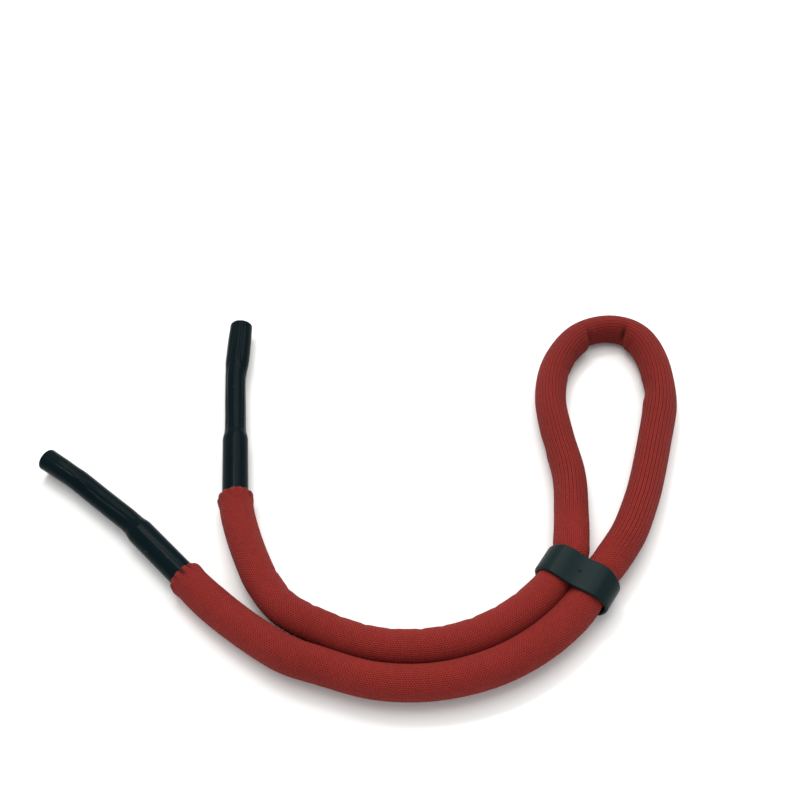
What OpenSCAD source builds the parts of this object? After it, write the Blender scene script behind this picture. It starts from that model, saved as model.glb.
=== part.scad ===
// Eyeglass retainer strap: a padded knitted strap with a temple tube at each end,
// folded into a loop that a sliding band holds together.
// The origin is on the table, at the middle of the strap's bounding box.

/* [Strap] */
// Outer diameter of the padded strap
strap_d = 8.7; // [8.6:0.1:9]
// Thickness of the knitted cover
cover_wall = 0.6; // [0.5:0.05:0.65]
// Gap between the two legs where they lie side by side
leg_gap = 0.1; // [0.1:0.1:0.4]
// Radius of the inner leg's bend, on its centre line
inner_leg_r = 45.8; // [44:0.2:48]

/* [Slider band] */
// Length of the band along the strap
slider_len = 9; // [6:0.5:10]
// Wall thickness of the band
slider_wall = 0.9; // [0.8:0.1:1.2]
// Free space between the band and the legs, above and below
slider_clearance = 0.3; // [0.2:0.05:0.5]
// Free space between the band and the legs, at each side
slider_side_clearance = 0.5; // [0.4:0.05:0.8]

/* [Temple tubes] */
// Outer diameter of the end that the strap grips
sleeve_d = 6.9; // [6.6:0.1:6.9]
// Outer diameter of the slim middle stretch
waist_d = 5.8; // [5.4:0.1:6.2]
// Outer diameter of the mouth
mouth_d = 6.2; // [6:0.1:6.6]
// Diameter of the bore that takes the temple tip
mouth_bore_d = 4.2; // [3.8:0.1:4.4]
// Wall thickness of the slim stretch and of the sleeve
tube_wall = 1; // [0.8:0.1:1.1]
// Length of the wide sleeve outside the strap
sleeve_len = 18.5; // [16:0.5:22]
// Length of the slim stretch between its two bends
waist_len = 17.5; // [14:0.5:22]
// Length of the left tube's straight mouth
left_mouth_len = 5.5; // [4:0.5:14]
// Length of the right tube's straight mouth
right_mouth_len = 13; // [4:0.5:14]

/* [Hidden] */
$fn = 64;

strap_r = strap_d / 2;
leg_pitch = strap_d + leg_gap;
outer_leg_r = inner_leg_r + leg_pitch;
slider_lift = slider_wall + slider_clearance; // the band runs under the legs
leg_centre = [11.8, -0.2]; // both legs bend around this point
leg_start = -28.5;       // angle where the legs come out of the band's loop side
slider_angle = -33.5;

// The strap lies along these points, [x, y, share of the slider's lift].
left_end = [[-44.5, -26.3, 0], [-37.4, -33.2, 0.1], [-28, -40.8, 0.4], [-18.3, -47.2, 0.8]];
loop = [[62.3, -23.1, 1], [68, -14.8, 0.9], [72.1, -6, 0.6], [75, 1.8, 0.4],
        [79.1, 15.3, 0.1], [82.6, 28.8, 0], [82.6, 41.8, 0], [78.9, 51.5, 0], [71.1, 54.8, 0],
        [61.9, 51.7, 0], [54.8, 42, 0], [51.9, 29.8, 0], [52.8, 16.8, 0.1], [54.6, 3.8, 0.4],
        [54.1, -8.2, 0.8], [53.3, -16.5, 1]];
right_end = [[-18.4, -36, 1], [-24.4, -28.8, 0.9], [-27.4, -22.9, 0.8], [-30.2, -16, 0.4],
             [-32.5, -8.9, 0.1], [-33.8, -2.7, 0]];
route = concat(left_end,
               leg_arc(outer_leg_r, -113, leg_start, 6),
               loop,
               leg_arc(inner_leg_r, leg_start, -115, 6),
               right_end);

cover_sides = 12;
rings_per_span = 2;
mouth_hole_r = 3.65;  // inside of the gathered rim
rim_outer_r = 4;

// The tubes start inside the rim, and the plug's neck reaches in past them.
left_mouth = [-44.5, -26.3];
left_heading = 135;
left_turns = [6, 4];
right_mouth = [-33.8, -2.7];
right_heading = 95;
right_turns = [0, -5];
tube_inside = 1;      // length of tube inside the rim
shoulder_len = 2.5;
flare_len = 5;
bend_r = 30;

sleeve_bore_r = sleeve_d / 2 - tube_wall;
waist_bore_r = waist_d / 2 - tube_wall;
plug_r = sleeve_bore_r - 0.02;
plug_len = 17;        // stretch of the plug inside the tube
neck_r = 1.8;
neck_len = 3.9;       // stretch of the plug inside the strap
flange_r = 2.3;
flange_len = 0.5;
foam_gap = 0.6;       // between the plug's flange and the foam
thread_r = 0.28;
thread_turns = 5;
thread_pitch = 0.5;

// ---- Geometry helpers ----

function leg_arc(r, from, to, steps) =
    [for (i = [0:steps])
        let (a = from + (to - from) * i / steps)
        [leg_centre.x + r * cos(a), leg_centre.y + r * sin(a), 1]];

function spline(a, b, c, d, t) =
    0.5 * (2 * b + (c - a) * t + (2 * a - 5 * b + 4 * c - d) * t * t
           + (3 * b - a - 3 * c + d) * t * t * t);

// A smooth line through every point, with n steps from each point to the next
function smooth_line(p, n) =
    let (last = len(p) - 1,
         q = concat([2 * p[0] - p[1]], p, [2 * p[last] - p[last - 1]]))
    concat([for (i = [1:last], k = [0:n - 1])
               spline(q[i - 1], q[i], q[i + 1], q[i + 2], k / n)],
           [p[last]]);

function unit(v) = v / norm(v);

function heading(p, i) = unit(p[min(i + 1, len(p) - 1)] - p[max(i - 1, 0)]);

centre_line = [for (p = smooth_line(route, rings_per_span))
                  [p.x, p.y, strap_r + p.z * slider_lift]];
ring_count = len(centre_line);

// The vertices of one ring around point p, square to direction t
function ring(p, t, r) =
    let (side = unit(cross([0, 0, 1], t)), up = cross(t, side))
    [for (k = [0:cover_sides - 1])
        let (a = 360 * k / cover_sides)
        p + r * (cos(a) * side + sin(a) * up)];

// Ring stations [point, direction, radius]: the rim's, the line's, the other rim's
function stations(rim_r, rim_step, r) =
    let (last = ring_count - 1,
         a = centre_line[0], ta = heading(centre_line, 0),
         b = centre_line[last], tb = heading(centre_line, last))
    concat([[a, ta, rim_r], [a + rim_step * ta, ta, (rim_r + 3 * r) / 4],
            [a + 2 * rim_step * ta, ta, r]],
           [for (i = [1:last - 1]) [centre_line[i], heading(centre_line, i), r]],
           [[b - 2 * rim_step * tb, tb, r], [b - rim_step * tb, tb, (rim_r + 3 * r) / 4],
            [b, tb, rim_r]]);

// Quads between each ring and the next; ring n is ring 0 again where it is closed
function ring_faces(n, closed) =
    [for (i = [0:n - (closed ? 1 : 2)], k = [0:cover_sides - 1])
        let (i2 = (i + 1) % n, k2 = (k + 1) % cover_sides)
        [i * cover_sides + k, i2 * cover_sides + k,
         i2 * cover_sides + k2, i * cover_sides + k2]];

// ---- Strap ----

// Radius to a ring's corners where r is the radius to its flats
function corner_r(r) = r / cos(180 / cover_sides);

module knit_cover() {
    outside = stations(rim_outer_r, 0.7, strap_r);
    inside = stations(corner_r(mouth_hole_r), 0.5, corner_r(strap_r - cover_wall));
    n = len(outside);
    all = concat(outside, [for (i = [n - 1:-1:0]) inside[i]]);
    color("firebrick")
        polyhedron([for (s = all) each ring(s[0], s[1], s[2])], ring_faces(2 * n, true));
}

module foam_core() {
    r = corner_r(strap_r - cover_wall) - 0.1;
    reach = tube_inside + neck_len + foam_gap; // the foam stays this far from each mouth
    kept = [for (i = [0:ring_count - 1])
               if (norm(centre_line[i] - centre_line[0]) > reach
                   && norm(centre_line[i] - centre_line[ring_count - 1]) > reach) i];
    n = len(kept);
    color("gainsboro")
        polyhedron([for (i = kept) each ring(centre_line[i], heading(centre_line, i), r)],
                   concat(ring_faces(n, false),
                          [[for (k = [0:cover_sides - 1]) k]],
                          [[for (k = [cover_sides - 1:-1:0]) (n - 1) * cover_sides + k]]));
}

// ---- Temple tubes, drawn along +X from the strap's mouth ----

module rod(r, length) rotate([0, 90, 0]) cylinder(h = length, r = r);

module taper(r1, r2, length) rotate([0, 90, 0]) cylinder(h = length, r1 = r1, r2 = r2);

// A round bend of the given angle, with its children at its far end
module bend(r, turn) {
    side = turn < 0 ? -1 : 1;
    if (turn != 0)
        mirror([0, turn < 0 ? 1 : 0, 0])
            translate([0, bend_r, 0])
                rotate([0, 0, -90])
                    rotate_extrude(angle = abs(turn)) translate([bend_r, 0]) circle(r);
    translate([bend_r * sin(abs(turn)), side * bend_r * (1 - cos(turn)), 0])
        rotate([0, 0, turn])
            children();
}

// The outline of a tube; drawn with smaller radii it is the tube's bore
module tube_outline(sleeve_r, waist_r, mouth_r, turns, mouth_len, start, extra) {
    translate([start, 0, 0]) rod(sleeve_r, sleeve_len - start);
    translate([sleeve_len, 0, 0]) {
        taper(sleeve_r, waist_r, shoulder_len);
        translate([shoulder_len, 0, 0]) bend(waist_r, turns[0]) {
            rod(waist_r, waist_len);
            translate([waist_len, 0, 0]) bend(waist_r, turns[1])
                if (mouth_r > waist_r && extra == 0) {
                    taper(waist_r, mouth_r, flare_len);
                    translate([flare_len, 0, 0]) rod(mouth_r, mouth_len);
                } else {
                    rod(mouth_r, flare_len + mouth_len + extra);
                }
        }
    }
}

module temple_tube(turns, mouth_len) {
    color([0.05, 0.08, 0.09])
        difference() {
            tube_outline(sleeve_d / 2, waist_d / 2, mouth_d / 2, turns, mouth_len,
                         -tube_inside, 0);
            tube_outline(sleeve_bore_r, waist_bore_r, mouth_bore_d / 2, turns, mouth_len,
                         -tube_inside - 1, 1);
        }
}

module end_plug() {
    color("dimgray") {
        translate([-tube_inside, 0, 0]) rod(plug_r, plug_len);
        translate([-tube_inside - neck_len, 0, 0]) rod(neck_r, neck_len);
        translate([-tube_inside - neck_len, 0, 0]) rod(flange_r, flange_len);
    }
}

module binding_thread() {
    first = -tube_inside - 0.05 - thread_r;
    color("maroon")
        rotate([0, 90, 0])
            rotate_extrude()
                for (i = [0:thread_turns - 1])
                    translate([neck_r + 0.02 + thread_r, first - i * thread_pitch])
                        circle(thread_r);
}

module at_left_mouth() translate([each left_mouth, strap_r]) rotate([0, 0, left_heading]) children();

module at_right_mouth() translate([each right_mouth, strap_r]) rotate([0, 0, right_heading]) children();

module left_temple_tube() at_left_mouth() temple_tube(left_turns, left_mouth_len);
module right_temple_tube() at_right_mouth() temple_tube(right_turns, right_mouth_len);
module left_end_plug() at_left_mouth() end_plug();
module right_end_plug() at_right_mouth() end_plug();
module left_binding_thread() at_left_mouth() binding_thread();
module right_binding_thread() at_right_mouth() binding_thread();

// ---- Slider band ----

module long_round(half_width, half_height) {
    reach = half_width - half_height;
    square([2 * reach, 2 * half_height], center = true);
    for (side = [-1, 1]) translate([side * reach, 0]) circle(half_height);
}

module slider_band() {
    half_width = (leg_pitch + strap_d) / 2 + slider_side_clearance;
    half_height = strap_r + slider_clearance;
    middle_r = (inner_leg_r + outer_leg_r) / 2;
    gate_r = 0.45;
    color([0.09, 0.13, 0.13])
        translate([leg_centre.x, leg_centre.y, strap_r + slider_lift])
            rotate([0, 0, slider_angle])
                translate([middle_r, 0, 0]) {
                    rotate([90, 0, 0])
                        translate([0, 0, -slider_len / 2])
                            linear_extrude(slider_len)
                                difference() {
                                    long_round(half_width + slider_wall, half_height + slider_wall);
                                    long_round(half_width, half_height);
                                }
                    // the moulding gate's small stub
                    translate([0, 0, half_height + slider_wall / 2])
                        cylinder(h = slider_wall / 2 + 0.25, r = gate_r);
                }
}

knit_cover();
foam_core();
left_temple_tube();
right_temple_tube();
left_end_plug();
right_end_plug();
left_binding_thread();
right_binding_thread();
slider_band();
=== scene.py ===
"""Eyeglass retainer strap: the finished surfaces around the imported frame, in metres."""
import bisect
import math

import bmesh
import bpy
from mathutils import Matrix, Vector, noise


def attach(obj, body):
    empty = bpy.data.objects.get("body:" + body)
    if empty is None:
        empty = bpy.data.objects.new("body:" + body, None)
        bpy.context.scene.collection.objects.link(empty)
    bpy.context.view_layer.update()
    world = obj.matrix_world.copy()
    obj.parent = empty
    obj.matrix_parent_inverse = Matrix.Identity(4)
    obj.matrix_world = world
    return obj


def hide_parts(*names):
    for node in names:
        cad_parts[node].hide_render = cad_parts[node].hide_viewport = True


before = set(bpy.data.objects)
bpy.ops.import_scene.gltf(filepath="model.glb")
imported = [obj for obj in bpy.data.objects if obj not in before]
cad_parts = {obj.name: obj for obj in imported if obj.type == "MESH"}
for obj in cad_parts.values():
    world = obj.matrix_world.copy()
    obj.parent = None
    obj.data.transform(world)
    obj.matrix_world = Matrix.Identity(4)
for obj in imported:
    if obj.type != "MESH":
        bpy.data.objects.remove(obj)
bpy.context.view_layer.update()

MM = 0.001
UP = Vector((0, 0, 1))

# ---- Camera ----

CAMERA_PLACE = Vector((9.6, -156.8, 251)) * MM
CAMERA_AIM = Vector((9.6, 32.3, 0)) * MM
CAMERA_LENS, SENSOR_WIDTH = 49.5, 36


def make_camera():
    data = bpy.data.cameras.new("camera")
    data.lens, data.sensor_width = CAMERA_LENS, SENSOR_WIDTH
    data.clip_start, data.clip_end = 0.01, 20
    camera = bpy.data.objects.new("camera", data)
    bpy.context.scene.collection.objects.link(camera)
    camera.location = CAMERA_PLACE
    camera.rotation_euler = (CAMERA_AIM - CAMERA_PLACE).to_track_quat("-Z", "Y").to_euler()
    bpy.context.scene.camera = camera


make_camera()

# ---- The strap's line, as the frame's, in millimetres ----

STRAP_R = 4.35           # radius of the padded strap
LIFT = 1.2               # the legs stand this much higher where the band runs under them
LEG_CENTRE = (11.8, -0.2)  # both legs bend around this point
INNER_LEG_R, OUTER_LEG_R = 45.8, 54.6


def leg_arc(radius, first, last, steps):
    """Points [x, y, share of the lift] along one leg's arc, between two angles in degrees."""
    angles = [math.radians(first + (last - first) * i / steps) for i in range(steps + 1)]
    return [(LEG_CENTRE[0] + radius * math.cos(a), LEG_CENTRE[1] + radius * math.sin(a), 1)
            for a in angles]


LEFT_END = [(-44.5, -26.3, 0), (-37.4, -33.2, 0.1), (-28, -40.8, 0.4), (-18.3, -47.2, 0.8)]
LOOP = [(62.3, -23.1, 1), (68, -14.8, 0.9), (72.1, -6, 0.6), (75, 1.8, 0.4),
        (79.1, 15.3, 0.1), (82.6, 28.8, 0), (82.6, 41.8, 0), (78.9, 51.5, 0), (71.1, 54.8, 0),
        (61.9, 51.7, 0), (54.8, 42, 0), (51.9, 29.8, 0), (52.8, 16.8, 0.1), (54.6, 3.8, 0.4),
        (54.1, -8.2, 0.8), (53.3, -16.5, 1)]
RIGHT_END = [(-18.4, -36, 1), (-24.4, -28.8, 0.9), (-27.4, -22.9, 0.8), (-30.2, -16, 0.4),
             (-32.5, -8.9, 0.1), (-33.8, -2.7, 0)]
ROUTE = (LEFT_END + leg_arc(OUTER_LEG_R, -113, -28.5, 6) + LOOP
         + leg_arc(INNER_LEG_R, -28.5, -115, 6) + RIGHT_END)


class Line:
    """A smooth line through points in millimetres, read by the distance along it."""

    STEPS = 24  # between one point and the next

    def __init__(self, points):
        p = [Vector(q) for q in points]
        p = [2 * p[0] - p[1]] + p + [2 * p[-1] - p[-2]]
        self.points = []
        for a, b, c, d in zip(p, p[1:], p[2:], p[3:]):
            for k in range(self.STEPS):
                t = k / self.STEPS
                self.points.append(0.5 * (2 * b + (c - a) * t + (2 * a - 5 * b + 4 * c - d) * t**2
                                          + (3 * b - a - 3 * c + d) * t**3))
        self.points.append(p[-2])
        self.along = [0.0]
        for a, b in zip(self.points, self.points[1:]):
            self.along.append(self.along[-1] + (b - a).length)
        self.length = self.along[-1]
        last = len(self.points) - 1
        self.headings = [(self.points[min(i + 1, last)] - self.points[max(i - 1, 0)]).normalized()
                         for i in range(last + 1)]

    def at(self, s):
        """(point, heading) at distance s; past either end the line runs straight on."""
        if s <= 0:
            return self.points[0] + s * self.headings[0], self.headings[0]
        if s >= self.length:
            return self.points[-1] + (s - self.length) * self.headings[-1], self.headings[-1]
        i = min(bisect.bisect_right(self.along, s) - 1, len(self.points) - 2)
        t = (s - self.along[i]) / (self.along[i + 1] - self.along[i])
        return (self.points[i].lerp(self.points[i + 1], t),
                self.headings[i].lerp(self.headings[i + 1], t).normalized())

    def place(self, s, angle, radius):
        """The point at this angle round the line, in radians; 0 is its left and a quarter turn its top."""
        p, heading = self.at(s)
        side = UP.cross(heading).normalized()
        return p + radius * (math.cos(angle) * side + math.sin(angle) * heading.cross(side))

    def near(self, x, y):
        """The distance along the line where it passes closest to a point on the table."""
        gap = lambda i: (self.points[i].x - x) ** 2 + (self.points[i].y - y) ** 2
        return self.along[min(range(len(self.points)), key=gap)]


strap = Line([(x, y, STRAP_R + lift * LIFT) for x, y, lift in ROUTE])

# ---- Mesh tools ----


def bump_curve(x):
    """1 at 0, falling smoothly to 0 at 1 and beyond."""
    x = min(abs(x), 1)
    return (1 - x * x) ** 2


def angle_gap(a, b):
    """The smallest turn between two angles, in radians."""
    return abs((a - b + math.pi) % (2 * math.pi) - math.pi)


def interpolate(stops, s):
    """Straight lines between (distance, value) stops."""
    for (s0, v0), (s1, v1) in zip(stops, stops[1:]):
        if s <= s1:
            return v0 + (v1 - v0) * max(0, s - s0) / (s1 - s0)
    return stops[-1][1]


def finished(bm, name, body, paint, stands_for=()):
    """Makes a mesh object of bm, which is in millimetres, and gives it its body and material."""
    bmesh.ops.scale(bm, vec=(MM, MM, MM), verts=bm.verts)
    mesh = bpy.data.meshes.new(name)
    bm.to_mesh(mesh)
    bm.free()
    mesh.polygons.foreach_set("use_smooth", [True] * len(mesh.polygons))
    piece = bpy.data.objects.new(name, mesh)
    bpy.context.scene.collection.objects.link(piece)
    mesh.materials.append(paint)
    if stands_for:
        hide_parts(*stands_for)
    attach(piece, body)
    return piece


def skin(bm, rings, sides, place, uv=None, shade=None):
    """Wraps a grid round a line: place(ring, angle) gives each point and uv(ring, turn) its map.
    shade(ring, angle) is kept in a second map, which the knit paints as shade in its gathers and creases.
    Returns the vertices of the first and the last ring."""
    for name in ("stitches", "folds"):
        if name not in bm.loops.layers.uv:
            bm.loops.layers.uv.new(name)
    layer, shade_layer = bm.loops.layers.uv["stitches"], bm.loops.layers.uv["folds"]
    made = bmesh.ops.create_grid(bm, x_segments=rings, y_segments=sides, size=1)["verts"]
    cell = {v: (round((v.co.x + 1) / 2 * rings), round((v.co.y + 1) / 2 * sides)) for v in made}
    start = -math.pi / 2  # the seam lies underneath
    faces = {f for v in made for f in v.link_faces}
    shades = {at: shade(at[0], start + 2 * math.pi * at[1] / sides) for at in cell.values()} if shade else {}
    for f in faces:
        for loop in f.loops:
            ring, side = cell[loop.vert]
            loop[layer].uv = uv(ring, side / sides) if uv else (ring, side / sides)
            # the second map carries painted shade for the knit's gathers and creases
            loop[shade_layer].uv = (shades[ring, side] if shade else 0.0, 0.0)
    for v, (ring, side) in cell.items():
        v.co = place(ring, start + 2 * math.pi * side / sides)
    ends = [[v for v in made if cell[v][0] == ring] for ring in (0, rings)]
    seam = [v for v in made if cell[v][1] in (0, sides)]
    bmesh.ops.remove_doubles(bm, verts=seam, dist=1e-5)
    return [[v for v in end if v.is_valid] for end in ends]


def ring_edges(verts):
    """The edges of an open ring of vertices."""
    chosen = set(verts)
    return [e for v in verts for e in v.link_edges
            if e.verts[0] in chosen and e.verts[1] in chosen and e.verts[0] == v]


def close_tube(bm, ends):
    """Caps both ends of a skin."""
    for end in ends:
        bmesh.ops.holes_fill(bm, edges=ring_edges(end), sides=0)
    bmesh.ops.recalc_face_normals(bm, faces=bm.faces)


# ---- Shader tools ----


class Signal:
    """A shader output that Python's arithmetic works on; each sign adds a Math node."""

    def __init__(self, paint, socket):
        self.paint, self.socket = paint, socket

    def maths(self, operation, *values):
        return self.paint.node("ShaderNodeMath", {"operation": operation}, dict(enumerate(values)))

    def __add__(self, other): return self.maths("ADD", self, other)
    def __radd__(self, other): return self.maths("ADD", other, self)
    def __sub__(self, other): return self.maths("SUBTRACT", self, other)
    def __rsub__(self, other): return self.maths("SUBTRACT", other, self)
    def __mul__(self, other): return self.maths("MULTIPLY", self, other)
    def __rmul__(self, other): return self.maths("MULTIPLY", other, self)
    def __pow__(self, other): return self.maths("POWER", self, other)
    def __abs__(self): return self.maths("ABSOLUTE", self)
    def fraction(self): return self.maths("FRACT", self)
    def floor(self): return self.maths("FLOOR", self)
    def sine(self): return self.maths("SINE", self)
    def most(self, other): return self.maths("MAXIMUM", self, other)


class Paint:
    """A material with one Principled shader, built from expressions."""

    def __init__(self, name, **shader_values):
        self.material = bpy.data.materials.new(name)
        self.material.use_nodes = True
        self.nodes = self.material.node_tree.nodes
        self.links = self.material.node_tree.links
        self.nodes.clear()
        self.shader = self.nodes.new("ShaderNodeBsdfPrincipled")
        output = self.nodes.new("ShaderNodeOutputMaterial")
        self.links.new(self.shader.outputs[0], output.inputs["Surface"])
        for socket, value in shader_values.items():
            self.set(socket.replace("_", " "), value)

    def set(self, socket, value):
        self._feed(self.shader.inputs[socket], value)

    def _feed(self, socket, value):
        if isinstance(value, Signal):
            self.links.new(value.socket, socket)
        else:
            socket.default_value = value

    def node(self, kind, settings=None, inputs=None, output=0):
        """Any node: its settings first, then the values or links of its sockets."""
        made = self.nodes.new(kind)
        for key, value in (settings or {}).items():
            setattr(made, key, value)
        for key, value in (inputs or {}).items():
            self._feed(made.inputs[key], value)
        return Signal(self, made.outputs[output])

    def mix(self, factor, a, b):
        """Colour a where factor is 0, b where it is 1."""
        return self.node("ShaderNodeMix", {"data_type": "RGBA"}, {0: factor, 6: a, 7: b}, 2)

    def noise(self, where, scale, detail=2.0, roughness=0.5):
        return self.node("ShaderNodeTexNoise", None,
                         {"Vector": where, "Scale": scale, "Detail": detail, "Roughness": roughness})

    def fade(self, value, low, high):
        """0 where value is low, 1 where it is high, with soft ends."""
        return self.node("ShaderNodeMapRange", {"interpolation_type": "SMOOTHSTEP"},
                         {0: value, 1: low, 2: high})

    def object_place(self):
        return self.node("ShaderNodeTexCoord", None, None, "Object")

    def bump(self, height, distance, strength=1.0):
        self.set("Normal", self.node("ShaderNodeBump", None,
                                     {"Height": height, "Distance": distance, "Strength": strength}))


def colour(red, green, blue):
    return (red, green, blue, 1.0)


WALES = 28               # columns of stitches round the strap
COURSE = 0.66            # length of one row of stitches, in millimetres
LOOP_FIRST = strap.near(62.3, -23.1) / COURSE
LOOP_LAST = strap.near(53.3, -16.5) / COURSE


def red_knit():
    """Fine jersey: each wale is a chain of V stitches, with painted shade darkening the small holes between
    their legs and the furrows between the wales.
    """
    p = Paint("red_knit", Roughness=0.85, Specular_IOR_Level=0.2)
    p.set("Sheen Weight", 0.07)
    p.set("Sheen Roughness", 0.5)
    p.set("Sheen Tint", colour(0.9, 0.35, 0.3))
    uv = p.node("ShaderNodeUVMap", {"uv_map": "stitches"})
    where = p.object_place()
    split = lambda axis: p.node("ShaderNodeSeparateXYZ", None, {0: uv}, axis)
    wander = p.noise(where, 160.0, 2.0) - 0.5
    course = split("X") + wander * 0.9
    wale = split("Y") + (p.noise(where, 240.0, 1.0) - 0.5) * 0.22
    off_centre = abs(wale.fraction() - 0.5)             # 0 on a wale's middle, 0.5 at its edges
    leg = 1 - ((off_centre - 0.25) * 4) ** 2            # 1 along the two legs of the V
    row = abs((course + off_centre).fraction() * 2 - 1)  # 1 between one stitch and the next
    gap = row ** 1.4
    loop = (p.fade(split("X"), LOOP_FIRST - 12, LOOP_FIRST + 30)
            * p.fade(split("X"), LOOP_LAST + 12, LOOP_LAST - 30))
    edge = p.fade(off_centre, 0.34, 0.5)                # the furrow between two wales
    hole = gap * (1 - leg * 0.75)
    height = 1 - hole.most(edge * (0.1 + 0.85 * loop)) - (1 - leg) * 0.1
    fibre = p.noise(p.node("ShaderNodeCombineXYZ", None, {0: course * 5, 1: wale * 22, 2: 0.0}), 1.0, 2.0)
    stitch = p.node("ShaderNodeTexWhiteNoise", {"noise_dimensions": "2D"},
                    {"Vector": p.node("ShaderNodeCombineXYZ", None,
                                      {0: (course + off_centre).floor(), 1: wale.floor(), 2: 0.0})})
    tone = p.noise(where, 45.0, 3.0) * 0.5 + stitch * 0.18 + fibre * 0.32
    yarn = p.mix(tone, colour(0.145, 0.0072, 0.0052), colour(0.31, 0.022, 0.0152))
    # Painted shade: the knit is darkened towards near black in its gathers, at the turned-in rims and in the
    # loop's deep creases.
    crease_shade = p.node("ShaderNodeSeparateXYZ", None, {0: p.node("ShaderNodeUVMap", {"uv_map": "folds"})})
    # Painted shade: the low parts of the stitch relief, its holes and furrows, are mixed towards near black,
    # the furrows more so in the loop.
    stitches = p.mix(p.fade(height, 0.28, 0.72), colour(0.01, 0.0006, 0.0008), yarn)
    p.set("Base Color", p.mix(p.fade(crease_shade, 0.0, 1.0) * 0.85, stitches, colour(0.02, 0.001, 0.001)))
    p.bump(height + fibre * 0.22, 0.00026, 1.0)
    return p.material


def black_rubber():
    """Soft extruded tube: dark, with a wet-looking skin, a fine grain and specks of dust."""
    p = Paint("black_rubber", Specular_IOR_Level=0.03)
    where = p.object_place()
    cloud = p.noise(where, 90.0, 3.0)
    grain = p.noise(where, 2600.0, 2.0)
    dust = p.fade(p.noise(where, 900.0, 1.0), 0.735, 0.76)
    base = p.mix(cloud, colour(0.0012, 0.0048, 0.0062), colour(0.0028, 0.0085, 0.0105))
    p.set("Base Color", p.mix(dust * 0.06, base, colour(0.2, 0.22, 0.22)))
    p.set("Roughness", 0.14 + cloud * 0.12 + dust * 0.1)
    p.bump(grain * 0.5 + cloud * 2, 0.00002, 0.5)
    return p.material


def black_moulding():
    """Moulded plastic with a fine spark-eroded texture."""
    p = Paint("black_moulding", Specular_IOR_Level=0.07)
    where = p.object_place()
    texture = p.noise(where, 3200.0, 2.0)
    cloud = p.noise(where, 120.0, 2.0)
    p.set("Base Color", p.mix(cloud, colour(0.0035, 0.0105, 0.0115), colour(0.007, 0.0165, 0.0175)))
    p.set("Roughness", 0.3 + texture * 0.12 + cloud * 0.08)
    p.bump(texture, 0.00003, 0.7)
    return p.material


def white_foam():
    """Soft open foam."""
    p = Paint("white_foam", Roughness=0.95)
    where = p.object_place()
    cells = p.node("ShaderNodeTexVoronoi", None, {"Vector": where, "Scale": 1500.0})
    p.set("Base Color", p.mix(cells, colour(0.62, 0.60, 0.55), colour(0.86, 0.85, 0.81)))
    p.bump(cells, 0.0002, 0.6)
    return p.material


def plug_plastic():
    """Plain turned-looking plastic."""
    p = Paint("plug_plastic", IOR=1.46)
    cloud = p.noise(p.object_place(), 600.0, 2.0)
    p.set("Base Color", p.mix(cloud, colour(0.055, 0.055, 0.055), colour(0.1, 0.1, 0.1)))
    p.set("Roughness", 0.35 + cloud * 0.2)
    p.bump(cloud, 0.00002, 0.5)
    return p.material


def red_thread():
    """Twisted sewing thread; its map runs along the thread and round it."""
    p = Paint("red_thread", Roughness=0.7)
    p.set("Sheen Weight", 0.3)
    uv = p.node("ShaderNodeUVMap", {"uv_map": "stitches"})
    split = lambda axis: p.node("ShaderNodeSeparateXYZ", None, {0: uv}, axis)
    ply = ((split("X") * 1.2 + split("Y") * 3) * 6.2832).sine() * 0.5 + 0.5
    # Painted shade: the thread is darker in the grooves between its plies, along the same twist as its bump.
    p.set("Base Color", p.mix(ply, colour(0.12, 0.006, 0.008), colour(0.33, 0.03, 0.03)))
    p.bump(ply, 0.00008, 0.8)
    return p.material


paints = {make.__name__: make() for make in
          (red_knit, black_rubber, black_moulding, white_foam, plug_plastic, red_thread)}

# ---- Strap: cover and core ----

COVER_WALL = 0.6
PLUG_REACH = 4.9         # of the plug, into the strap

# How much fuller than STRAP_R the padding is, at places along the strap: (x, y, extra radius).
FULLNESS = [(-44.5, -26.3, -0.1), (-42.5, -28.3, 0), (-37, -33.5, 0.18), (-18, -47.3, 0.16), (-6, -52, 0),
            (12, -54.8, 0), (30, -51.5, 0.1), (47, -42, 0.24), (53.3, -35.8, 0.26),
            (55.8, -32.4, 0.12), (60.5, -26.3, 0.12), (63.4, -22, 0.27), (72, -6, 0.12),
            (79, 15, 0.15), (82, 26, 0.27), (83, 36, -0.03), (81.3, 47.5, 0.1), (76, 54, 0.1),
            (66, 54, -0.05), (57, 46.3, -0.12), (51.9, 29.8, -0.06), (53.8, 10, 0.05),
            (54.2, -8, 0.12), (53.2, -17.5, 0.25), (51.2, -22.4, 0.12), (46.8, -29.8, 0.12),
            (44.6, -32.4, 0.26), (38, -37.7, 0.26), (22, -44.8, 0.1), (4, -45.3, -0.05),
            (-18.4, -36, -0.03), (-27.4, -22.9, 0), (-32.8, -7.5, 0.05), (-33.8, -2.7, 0.12)]
FULLNESS_STOPS = [(strap.near(x, y), extra) for x, y, extra in FULLNESS]

# Small puckers on the inside of the inner leg's bend: (angle about the legs' centre, depth, length).
PUCKERS = [(-143, 0.14, 2.4), (-134, 0.2, 2.9), (-123, 0.24, 2.3), (-113, 0.17, 2.7),
           (-105, 0.22, 2.2), (-96, 0.16, 2.9), (-86, 0.22, 2.4), (-79, 0.15, 2.1),
           (-69, 0.22, 2.8), (-60, 0.17, 2.3), (-51, 0.15, 2.6)]
PUCKER_PLACES = [(strap.near(LEG_CENTRE[0] + INNER_LEG_R * math.cos(math.radians(a)),
                             LEG_CENTRE[1] + INNER_LEG_R * math.sin(math.radians(a))), depth, length)
                 for a, depth, length in PUCKERS]
PUCKER_ANGLE = math.pi - 0.25   # the inside of the inner leg, just above its middle

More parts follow.
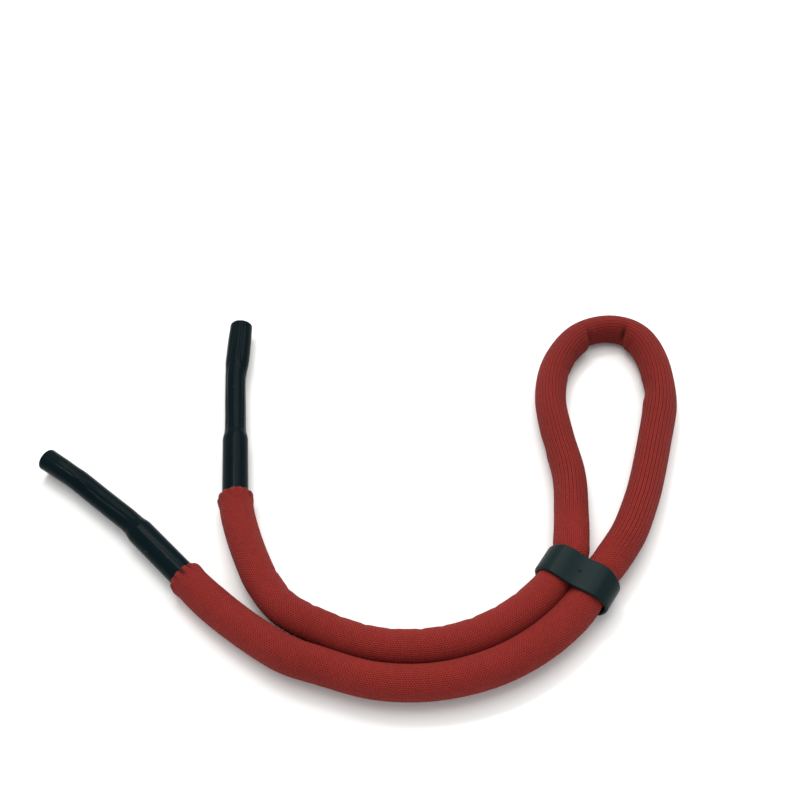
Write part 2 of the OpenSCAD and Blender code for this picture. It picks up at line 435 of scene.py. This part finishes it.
# Folds where the loop buckles: (x, y, angle round the strap, depth, half length, half angle).
# Angle 0 is the inside of the loop. Lengths are in millimetres and angles in degrees.
FOLDS = [(75.7, 54.1, 35, 1.1, 1.3, 75), (75.7, 54.1, 0, 0.4, 3.6, 80),
         (63.3, 52.8, 35, 1.0, 1.4, 75), (63.3, 52.8, 0, 0.5, 3.4, 85),
         (82.7, 32.0, 5, 0.6, 5.0, 65), (53.1, 14.0, 180, 0.4, 4.4, 50),
         (54.0, 39.0, 5, 0.25, 2.2, 55), (56.8, 45.6, 15, 0.25, 1.8, 60),
         (79.8, 49.8, 15, 0.25, 1.8, 60)]
FOLD_PLACES = [(strap.near(x, y), math.radians(angle), depth, reach, math.radians(spread))
               for x, y, angle, depth, reach, spread in FOLDS]
FLAT_DEPTH = 1.75        # how much the inside of the loop's top is pressed in
# The flattened stretch of the loop's top runs a little past the two deep folds.
FLAT_FIRST, FLAT_LAST = FOLD_PLACES[0][0] - 2.4, FOLD_PLACES[2][0] + 1.6


def dents(s, angle):
    """How far the padding stands out, in mm, from STRAP_R: folds are negative."""
    out = interpolate(FULLNESS_STOPS, s)
    for at, depth, length in PUCKER_PLACES:
        if abs(s - at) < 2.5 * length:
            turn = bump_curve(angle_gap(angle, PUCKER_ANGLE) / 1.4)
            out -= depth * turn * (bump_curve((s - at) / (0.6 * length))
                                   - 0.4 * bump_curve((s - at) / (2.2 * length)))
    for at, centre, depth, reach, spread in FOLD_PLACES:
        if abs(s - at) < 3 * reach:
            turn = bump_curve(angle_gap(angle, centre) / spread)
            out -= depth * turn * (bump_curve((s - at) / reach) - 0.25 * bump_curve((s - at) / (2.8 * reach)))
    if FLAT_FIRST < s < FLAT_LAST:
        length = FLAT_LAST - FLAT_FIRST
        plateau = 1 - (2 * (s - FLAT_FIRST) / length - 1) ** 4
        out -= FLAT_DEPTH * plateau * bump_curve(angle_gap(angle, math.radians(5)) / 1.6)
    out += 0.08 * noise.noise(Vector((s * 0.06, math.cos(angle) * 0.7, math.sin(angle) * 0.7)))
    return out


def rounded(s, angle, radius, softness=1):
    """The strap's surface at a radius, with its dents, and never below the table."""
    p = strap.place(s, angle, radius + dents(s, angle) * softness)
    p.z = max(p.z, 0.02)
    return p


# The gathered rim, from inside the mouth to the full strap: (distance from the mouth, radius).
RIM = [(1.5, 3.74), (0.9, 3.68), (0.45, 3.64), (0.1, 3.65), (-0.15, 3.73), (-0.27, 3.86),
       (-0.25, 4.0), (-0.1, 4.13), (0.14, 4.22), (0.45, 4.3), (0.85, 4.36), (1.3, 4.39),
       (1.9, 4.4), (2.6, 4.38), (3.3, 4.36)]
RIM_INNER_R = 3.64       # the tube turns in this mouth, so no pleat reaches deeper
# Pleats of each rim: (angle, depth, width), in degrees and mm. The cover bulges between them.
LEFT_PLEATS = [(8, 0.45, 12), (38, 0.5, 11), (66, 0.7, 11), (97, 1.05, 13), (128, 0.55, 12),
               (158, 0.5, 12), (186, 0.5, 12), (214, 0.45, 12), (244, 0.5, 13), (276, 0.45, 12),
               (308, 0.5, 12), (338, 0.45, 12)]
RIGHT_PLEATS = [(16, 0.8, 12), (44, 0.5, 11), (73, 0.6, 12), (101, 0.45, 12), (127, 0.6, 12),
                (152, 1.1, 13), (183, 0.6, 12), (212, 0.5, 12), (242, 0.5, 13), (272, 0.45, 12),
                (303, 0.5, 12), (336, 0.6, 12)]
PLEAT_REACH = 3.4
LOBE_HEIGHT, LOBE_REACH = 0.32, 3.0


def pleat_depth(from_mouth, angle, rim):
    """The depth of the gathers near a mouth."""
    fade = bump_curve(max(0, from_mouth) / PLEAT_REACH)
    if fade == 0:
        return 0.0
    return sum(depth * fade * bump_curve(angle_gap(angle, math.radians(at)) / math.radians(width))
               for at, depth, width in rim)


def pleats(from_mouth, angle, rim):
    """The depth of the gathers near a mouth, less the bulge between them."""
    bulge = LOBE_HEIGHT * bump_curve((max(0, from_mouth) - 0.7) / LOBE_REACH)
    return pleat_depth(from_mouth, angle, rim) - bulge


FULL_RINGS = 740
LEG_RELIEF = 0.035       # height of a stitch's legs over the furrows between the wales
SIDES = 4 * WALES


def cover_rings():
    """(distance, radius) of every ring of the cover's outside, from one mouth to the other."""
    first = RIM[-1][0] + 0.4
    full = [(first + (strap.length - 2 * first) * i / FULL_RINGS, STRAP_R)
            for i in range(FULL_RINGS + 1)]
    return (RIM + full + [(strap.length - s, r) for s, r in reversed(RIM)])


def knit_cover():
    rings = cover_rings()
    along = [0.0]
    for (s0, r0), (s1, r1) in zip(rings, rings[1:]):
        along.append(along[-1] + math.hypot(s1 - s0, r1 - r0))

    def outside(ring, angle):
        s, radius = rings[ring]
        wale = (angle / (2 * math.pi) + 0.25) * WALES
        relief = LEG_RELIEF * (1 - math.cos(4 * math.pi * wale)) / 2
        relief += 0.35 * LEG_RELIEF * (1 - math.cos(2 * math.pi * wale)) / 2
        gather = pleats(s, angle, LEFT_PLEATS) + pleats(strap.length - s, angle, RIGHT_PLEATS)
        shown = min(1, max(0, (radius - RIM_INNER_R) / (STRAP_R - RIM_INNER_R)))
        full = radius + (relief - LEG_RELIEF / 2 - gather) * shown
        return rounded(s, angle, max(full, RIM_INNER_R + 0.12 * shown), shown)

    inner_rings = 400
    first_inner = RIM[0][0] + 0.8

    def inside(ring, angle):
        s = first_inner + (strap.length - 2 * first_inner) * ring / inner_rings
        return rounded(s, angle, STRAP_R - COVER_WALL - pleat_room(s))

    def shade(ring, angle):
        """How deep in a gather or a crease this place lies, from 0 to 1, also at the turned-in rims: the
        amount of painted shade on the knit.
        """
        s, radius = rings[ring]
        gather = max(pleat_depth(s, angle, LEFT_PLEATS), pleat_depth(strap.length - s, angle, RIGHT_PLEATS))
        rim = 1 - min(1, max(0, (radius - RIM_INNER_R) / 0.4))
        creases = [bump_curve((s - at) / 1.2) * bump_curve(angle_gap(angle, centre) / spread)
                   for at, centre, depth, reach, spread in FOLD_PLACES if depth > 1 and reach < 2]
        return min(1.0, max([0.9 * gather, 0.8 * rim] + [0.75 * c for c in creases]))

    bm = bmesh.new()
    outer = skin(bm, len(rings) - 1, SIDES, outside,
                 lambda ring, turn: (along[ring] / COURSE, turn * WALES), shade)
    inner = skin(bm, inner_rings, WALES, inside,
                 lambda ring, turn: (ring * strap.length / inner_rings / COURSE, turn * WALES))
    for a, b in zip(outer, inner):
        bmesh.ops.bridge_loops(bm, edges=ring_edges(a) + ring_edges(b))
    bmesh.ops.recalc_face_normals(bm, faces=bm.faces)
    return finished(bm, "knit_cover", "strap", paints["red_knit"], ["knit_cover"])


def pleat_room(s):
    """The inner wall lies deeper where the gathers press in."""
    return 0.1 * bump_curve(min(s, strap.length - s) / PLEAT_REACH)


def foam_core():
    first = PLUG_REACH + 0.7
    rings = 420
    bm = bmesh.new()
    ends = skin(bm, rings, 28, lambda ring, angle: rounded(
        first + (strap.length - 2 * first) * ring / rings, angle, STRAP_R - COVER_WALL - 0.2))
    close_tube(bm, ends)
    return finished(bm, "foam_core", "strap", paints["white_foam"], ["foam_core"])


cover = knit_cover()
core = foam_core()
[tuple(strap.at(strap.length * i / 200)[0] * MM) for i in range(201)]

# ---- Temple tubes, plugs and threads ----

SLEEVE_LEN, SHOULDER_LEN, WAIST_LEN, FLARE_LEN = 18.5, 2.5, 17.5, 5
BEND_R = 30
SLEEVE_R, WAIST_R, MOUTH_R = 3.45, 2.9, 3.1
SLEEVE_BORE, WAIST_BORE, MOUTH_BORE = 2.45, 1.9, 2.1
TUBE_INSIDE = 1.0        # length of tube inside the strap's rim
TUBE_SIDES = 128
# Ridges along each tube, where it is pressed over what it holds, as stops of
# (distance from the strap, angle round the tube in degrees) with the top at 90.
TUBES = {
    "left": {"mouth": (-44.5, -26.3), "heading": 135, "turns": (6, 4), "mouth_len": 5.5,
             "ridges": [[(2, 112), (19, 100), (22, 92), (32, 92), (41, 80), (44, 88), (56, 92)],
                        [(2, 86), (19, 84), (22, 72), (32, 60), (41, 74), (44, 72), (56, 72)]],
             "stretch": -0.28},
    "right": {"mouth": (-33.8, -2.7), "heading": 95, "turns": (0, -5), "mouth_len": 13,
              "ridges": [[(2, 124), (18, 124), (22, 150), (40, 158), (45, 108), (60, 104)],
                         [(20, 60), (40, 52), (45, 60), (60, 66)]],
              "stretch": 0.38}}


def tube_line(mouth, heading, turns, mouth_len):
    """The tube's centre line from inside the strap's rim to its open end."""
    x, y = mouth
    points = []

    def step(length):
        nonlocal x, y
        x += length * math.cos(math.radians(heading))
        y += length * math.sin(math.radians(heading))
        points.append((x, y, STRAP_R))

    step(-TUBE_INSIDE)
    for run in (TUBE_INSIDE + SLEEVE_LEN / 2, SLEEVE_LEN / 2, SHOULDER_LEN):
        step(run)
    for turn, runs in zip(turns, ((WAIST_LEN / 2, WAIST_LEN / 2), (FLARE_LEN, mouth_len / 2, mouth_len / 2))):
        arc = abs(math.radians(turn)) * BEND_R
        if arc:
            heading += turn / 2
            step(arc)
            heading += turn / 2
        for run in runs:
            step(run)
    return Line(points)


def close_stops(stops, step):
    """The same outline with more stops, so that the mesh bends smoothly along it."""
    found = []
    for (s0, r0), (s1, r1) in zip(stops, stops[1:]):
        count = max(1, round(abs(s1 - s0) / step))
        found += [(s0 + (s1 - s0) * i / count, r0 + (r1 - r0) * i / count) for i in range(count)]
    return found + [stops[-1]]


def temple_tube(side):
    tube = TUBES[side]
    line = tube_line(tube["mouth"], tube["heading"], tube["turns"], tube["mouth_len"])
    end = line.length
    mouth_first = end - tube["mouth_len"]
    flare_first = mouth_first - FLARE_LEN
    shoulder_first = TUBE_INSIDE + SLEEVE_LEN
    outer = [(0, SLEEVE_R - 0.28), (0.6, SLEEVE_R - 0.12), (1.3, SLEEVE_R), (shoulder_first - 0.4, SLEEVE_R),
             (shoulder_first + 0.5, SLEEVE_R - 0.14), (shoulder_first + SHOULDER_LEN - 0.6, WAIST_R + 0.1),
             (shoulder_first + SHOULDER_LEN + 1.2, WAIST_R), (flare_first, WAIST_R),
             (flare_first + 1.5, WAIST_R + 0.03), (mouth_first - 1, MOUTH_R - 0.03), (mouth_first, MOUTH_R),
             (end - 0.22, MOUTH_R), (end - 0.06, MOUTH_R - 0.06), (end, MOUTH_R - 0.2)]
    bore = [(end, MOUTH_BORE + 0.15), (end - 0.1, MOUTH_BORE + 0.04), (end - 0.3, MOUTH_BORE),
            (flare_first + 0.2, MOUTH_BORE), (flare_first - 0.2, WAIST_BORE),
            (shoulder_first + SHOULDER_LEN, WAIST_BORE), (shoulder_first, SLEEVE_BORE), (0, SLEEVE_BORE)]
    rings = close_stops(outer, 0.5)
    inner = close_stops(bore, 1.0)

    def shape(s, angle, radius):
        """Soft tubing is never quite round: it has ridges, flats and a slightly oval mouth."""
        slack = interpolate([(0, 0.35), (shoulder_first, 0.4), (shoulder_first + 3, 1),
                             (end - 1, 1), (end, 0.3)], s)
        for ridge in tube["ridges"]:
            at = math.radians(interpolate(ridge, s))
            radius += 0.13 * slack * bump_curve(angle_gap(angle, at) / 0.2)
            radius -= 0.09 * slack * bump_curve(angle_gap(angle, at) / 0.55)
        widen = interpolate([(flare_first - 2, 0), (flare_first + 3.5, 1), (end - 5, 1), (end, 0.45)], s)
        radius += tube["stretch"] * widen * math.cos(2 * angle) * 0.7
        waver = noise.noise(Vector((s * 0.13, math.cos(angle), math.sin(angle) + tube["heading"])))
        return radius + 0.05 * slack * waver

    bm = bmesh.new()
    first = skin(bm, len(rings) - 1, TUBE_SIDES, lambda ring, angle: line.place(
        rings[ring][0], angle, shape(rings[ring][0], angle, rings[ring][1])))
    second = skin(bm, len(inner) - 1, TUBE_SIDES,
                  lambda ring, angle: line.place(inner[ring][0], angle, inner[ring][1]))
    bmesh.ops.bridge_loops(bm, edges=ring_edges(first[1]) + ring_edges(second[0]))
    bmesh.ops.bridge_loops(bm, edges=ring_edges(first[0]) + ring_edges(second[1]))
    bmesh.ops.recalc_face_normals(bm, faces=bm.faces)
    return finished(bm, f"{side}_temple_tube", f"{side}_tube", paints["black_rubber"],
                    [f"{side}_temple_tube"])


NECK_R, THREAD_R, THREAD_TURNS, THREAD_PITCH = 1.8, 0.28, 5, 0.56


def binding_thread(side):
    """Thread wound round the plug's neck, in the hollow behind the rim."""
    tube = TUBES[side]
    heading = math.radians(tube["heading"])
    ahead = Vector((math.cos(heading), math.sin(heading), 0))
    across = UP.cross(ahead)
    start = Vector((*tube["mouth"], STRAP_R)) - ahead * (TUBE_INSIDE + 0.05 + THREAD_R)
    wound_r = NECK_R + 0.02 + THREAD_R
    per_turn = 12
    points = []
    for i in range(THREAD_TURNS * per_turn + 1):
        turn = 2 * math.pi * i / per_turn
        points.append(start - ahead * (0.86 * THREAD_PITCH * i / per_turn)
                      + wound_r * (math.cos(turn) * across + math.sin(turn) * UP))
    line = Line(points)
    rings = THREAD_TURNS * per_turn * 3
    bm = bmesh.new()

    def place(ring, angle):
        s = line.length * ring / rings
        p, heading = line.at(s)
        side_way = ahead.cross(heading).normalized()
        return p + THREAD_R * (math.cos(angle) * side_way + math.sin(angle) * heading.cross(side_way))

    close_tube(bm, skin(bm, rings, 10, place, lambda ring, turn: (line.length * ring / rings, turn)))
    return finished(bm, f"{side}_binding_thread", f"{side}_tube", paints["red_thread"],
                    [f"{side}_binding_thread"])


for side in TUBES:
    temple_tube(side)
    binding_thread(side)
    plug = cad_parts[f"{side}_end_plug"]
    plug.data.materials.clear()
    plug.data.materials.append(paints["plug_plastic"])

# ---- Slider band ----

SLIDER_ANGLE, SLIDER_LEN, SLIDER_WALL = -33.5, 9, 0.9
SLIDER_HALF_WIDTH = (OUTER_LEG_R - INNER_LEG_R + 2 * STRAP_R) / 2 + 0.5
SLIDER_HALF_HEIGHT = STRAP_R + 0.3
SLIDER_MIDDLE_R = (INNER_LEG_R + OUTER_LEG_R) / 2
SLIDER_DIP = 0.65        # the band sinks this much between the two legs
SLIDER_END_SHORTER = 0.22  # share of its length that the band lacks at its two ends


def slider_band():
    """A moulded oval band: a wall bent round both legs, with rounded edges and a gate stub on top."""
    reach = SLIDER_HALF_WIDTH - SLIDER_HALF_HEIGHT

    def oval(verts):
        for v in verts:
            v.co.x += reach * math.copysign(min(1, abs(v.co.x) / 1.5), v.co.x)

    bm = bmesh.new()
    outline = bmesh.ops.create_circle(bm, cap_ends=False, segments=160,
                                      radius=SLIDER_HALF_HEIGHT + SLIDER_WALL)["verts"]
    wall = bmesh.ops.extrude_edge_only(bm, edges=bm.edges[:])["geom"]
    hole = [v for v in wall if isinstance(v, bmesh.types.BMVert)]
    shrink = SLIDER_HALF_HEIGHT / (SLIDER_HALF_HEIGHT + SLIDER_WALL)
    bmesh.ops.scale(bm, vec=(shrink, shrink, 1), verts=hole)
    oval(outline + hole)
    top = bmesh.ops.extrude_face_region(bm, geom=bm.faces[:])["geom"]
    far_end = [v for v in top if isinstance(v, bmesh.types.BMVert)]
    bmesh.ops.translate(bm, vec=(0, 0, SLIDER_LEN), verts=far_end)
    bmesh.ops.recalc_face_normals(bm, faces=bm.faces)
    sharp = [e for e in bm.edges if len(e.link_faces) == 2 and e.calc_face_angle(0) > 1.2]
    bmesh.ops.bevel(bm, geom=sharp, offset=0.34, offset_type="OFFSET", segments=4, profile=0.5,
                    affect="EDGES", material=-1)
    long = [e for e in bm.edges if e.calc_length() > 5]
    bmesh.ops.subdivide_edges(bm, edges=long, cuts=7, use_grid_fill=True)
    for v in bm.verts:
        v.co.z -= SLIDER_LEN / 2
        v.co.y -= math.copysign(SLIDER_DIP * bump_curve(v.co.x / 4.6), v.co.y)
        v.co.z *= 1 - SLIDER_END_SHORTER * min(1, max(0, (abs(v.co.x) - 4.5) / 5.5)) ** 1.5
    stub = bmesh.ops.create_uvsphere(bm, u_segments=20, v_segments=10, radius=0.5)["verts"]
    top_y = SLIDER_HALF_HEIGHT + SLIDER_WALL - SLIDER_DIP
    bmesh.ops.scale(bm, vec=(1, 0.5, 1), verts=stub)
    bmesh.ops.translate(bm, vec=(0, top_y + 0.02, 0), verts=stub)
    turn = math.radians(SLIDER_ANGLE)
    out, forward = Vector((math.cos(turn), math.sin(turn), 0)), Vector((math.sin(turn), -math.cos(turn), 0))
    centre = Vector((*LEG_CENTRE, STRAP_R + LIFT)) + out * SLIDER_MIDDLE_R
    for v in bm.verts:
        v.co = centre + out * v.co.x + UP * v.co.y + forward * v.co.z
    return finished(bm, "slider_band", "slider", paints["black_moulding"], ["slider_band"])


slider_band()

# ---- Table and light ----


def table_top():
    bm = bmesh.new()
    bmesh.ops.create_grid(bm, x_segments=1, y_segments=1, size=3)
    mesh = bpy.data.meshes.new("table_top")
    bm.to_mesh(mesh)
    bm.free()
    table = bpy.data.objects.new("table_top", mesh)
    bpy.context.scene.collection.objects.link(table)
    p = Paint("table_white", Roughness=0.6)
    p.set("Base Color", colour(0.9, 0.893, 0.87))
    mesh.materials.append(p.material)


def soft_light(name, place, aim, size, power):
    data = bpy.data.lights.new(name, "AREA")
    data.shape, data.size, data.size_y = "RECTANGLE", size[0], size[1]
    data.energy = power
    lamp = bpy.data.objects.new(name, data)
    bpy.context.scene.collection.objects.link(lamp)
    lamp.location = place
    lamp.rotation_euler = (Vector(aim) - Vector(place)).to_track_quat("-Z", "Y").to_euler()


def surroundings(strength):
    world = bpy.data.worlds.new("studio")
    bpy.context.scene.world = world
    world.use_nodes = True
    back = world.node_tree.nodes["Background"]
    back.inputs["Color"].default_value = colour(0.97, 0.98, 1.0)
    back.inputs["Strength"].default_value = strength


table_top()
surroundings(0.72)
soft_light("window_light", (0.2, 0.95, 0.95), (0.01, 0, 0), (0.9, 0.6), 5.5)
soft_light("overhead_light", (-0.1, 0.3, 1.25), (0.01, 0, 0), (1.3, 0.9), 9.0)
soft_light("lamp", (-0.25, 0.55, 1.0), (0.01, 0, 0), (0.35, 0.06), 2.6)
bpy.context.scene.view_settings.view_transform = "Standard"
